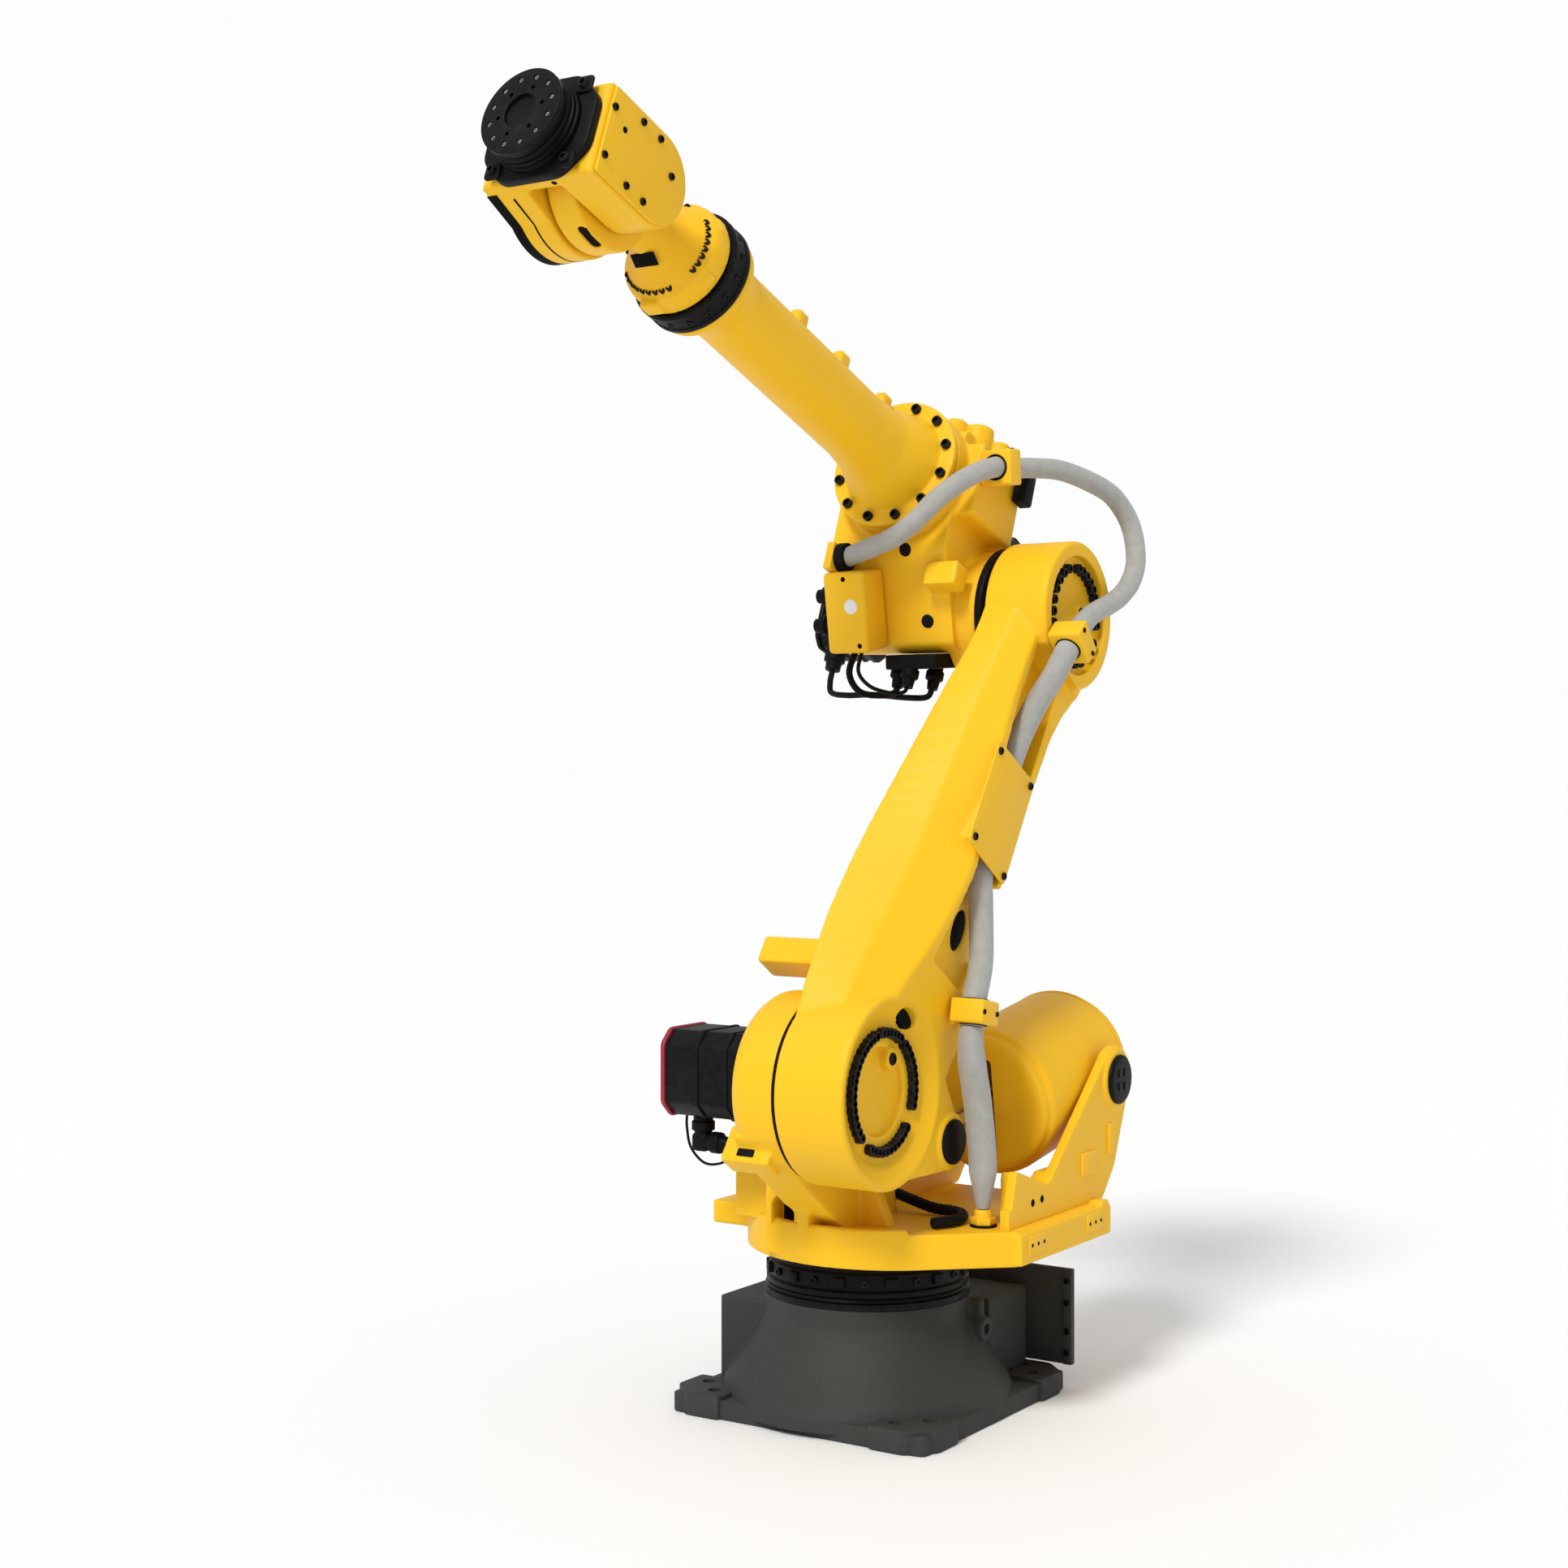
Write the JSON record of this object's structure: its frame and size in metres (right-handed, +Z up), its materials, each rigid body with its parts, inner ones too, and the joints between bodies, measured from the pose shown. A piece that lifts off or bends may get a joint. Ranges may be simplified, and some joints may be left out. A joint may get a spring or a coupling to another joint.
{
  "type": "six-axis industrial robot arm, floor mounted, with a spring balancer",
  "caption": "Heavy yellow jointed factory robot arm on a dark floor base, with a hollow wrist fork, tool flange, shoulder balancer and a grey hose along its side.",
  "frame": {"origin": "on the floor under the base, on the slewing axis", "axes": "+Z up, +X the way the arm faces at rest, +Y to its left"},
  "size_m": [1.7548, 0.71, 2.4017],
  "materials": {
    "yellow_paint": "semi-gloss enamel on castings",
    "grey_paint": "satin enamel on the cast base",
    "black_metal": "satin black",
    "red_paint": "satin",
    "bright_steel": "ground",
    "black_plastic": "matte",
    "hose_sleeve": "smooth woven sleeve"
  },
  "bodies": {
    "base": {"base_casting": "grey_paint", "base_rear_panel": "grey_paint", "slew_ring": "black_metal"},
    "turret": {"turret_table": "yellow_paint", "shoulder_pedestal": "yellow_paint", "shoulder_motor": "black_metal", "shoulder_motor_cap": "red_paint", "slew_motor": "black_metal", "balancer_frame_left": "yellow_paint", "balancer_frame_right": "yellow_paint", "trunnion_cap": "black_metal", "hose_fitting": "yellow_paint", "shoulder_connector": "black_plastic", "hose_base": "hose_sleeve"},
    "lower_arm": {"lower_arm_casting": "yellow_paint", "hose_cover": "yellow_paint", "balancer_pin_cap": "black_metal", "hose_clamp_lower": "yellow_paint", "hose_clamp_upper": "yellow_paint", "hose_lower_arm": "hose_sleeve", "hose_elbow_loop": "hose_sleeve"},
    "forearm": {"elbow_casing": "yellow_paint", "elbow_reducer": "black_metal", "roll_motor": "black_metal", "bend_motor": "black_metal", "tool_motor": "black_metal", "elbow_motor": "black_metal", "forearm_tube": "yellow_paint", "wrist_ring": "black_metal", "connector_box": "yellow_paint", "box_connectors": "black_plastic", "elbow_connector": "black_plastic", "hose_clamp_elbow": "yellow_paint", "hose_forearm": "hose_sleeve"},
    "wrist_roll": {"wrist_casting": "yellow_paint"},
    "wrist_bend": {"wrist_fork": "yellow_paint", "tongue_cover": "yellow_paint", "reducer_plate": "black_metal", "reducer": "black_metal"},
    "tool_flange": {"tool_flange": "black_metal"},
    "balancer_cylinder": {"balancer_cylinder": "yellow_paint"},
    "balancer_rod": {"balancer_rod": "bright_steel"}
  },
  "joints": [
    {"name": "slew", "type": "hinge", "parent": "base", "child": "turret", "pos_m": [0, 0, 0.325], "axis": [0, 0, 1], "range_deg": [-185, 185]},
    {"name": "shoulder", "type": "hinge", "parent": "turret", "child": "lower_arm", "pos_m": [0.312, 0, 0.67], "axis": [0, 1, 0], "range_deg": [-26.6, 109.4], "deforming": ["hose_base"]},
    {"name": "elbow", "type": "hinge", "parent": "lower_arm", "child": "forearm", "pos_m": [-0.27992, 0, 1.56736], "axis": [0, -1, 0], "range_deg": [-45, 131], "deforming": ["hose_elbow_loop"]},
    {"name": "wrist_roll", "type": "hinge", "parent": "forearm", "child": "wrist_roll", "pos_m": [0.61991, 0, 2.15339], "axis": [0.9337, 0, 0.358], "range_deg": [-360, 360]},
    {"name": "wrist_bend", "type": "hinge", "parent": "wrist_roll", "child": "wrist_bend", "pos_m": [0.86267, 0, 2.24648], "axis": [0, 1, 0], "range_deg": [-125, 125]},
    {"name": "tool_turn", "type": "hinge", "parent": "wrist_bend", "child": "tool_flange", "pos_m": [1.04941, 0, 2.31808], "axis": [0.9337, 0, 0.358], "range_deg": [-360, 360]},
    {"name": "balancer_swing", "type": "hinge", "parent": "turret", "child": "balancer_cylinder", "pos_m": [-0.38, 0.185, 0.625], "axis": [0, -1, 0], "range_deg": [-9.2, 37.4]},
    {"name": "balancer_pivot", "type": "hinge", "parent": "lower_arm", "child": "balancer_rod", "pos_m": [0.09731, 0.185, 0.55234], "axis": [0, -1, 0], "range_deg": [-35.8, 146.8]}
  ],
  "couplings": [
    {"joint": "balancer_swing", "follows": "shoulder", "ratio": 0.34},
    {"joint": "balancer_pivot", "follows": "shoulder", "ratio": 1.34}
  ]
}
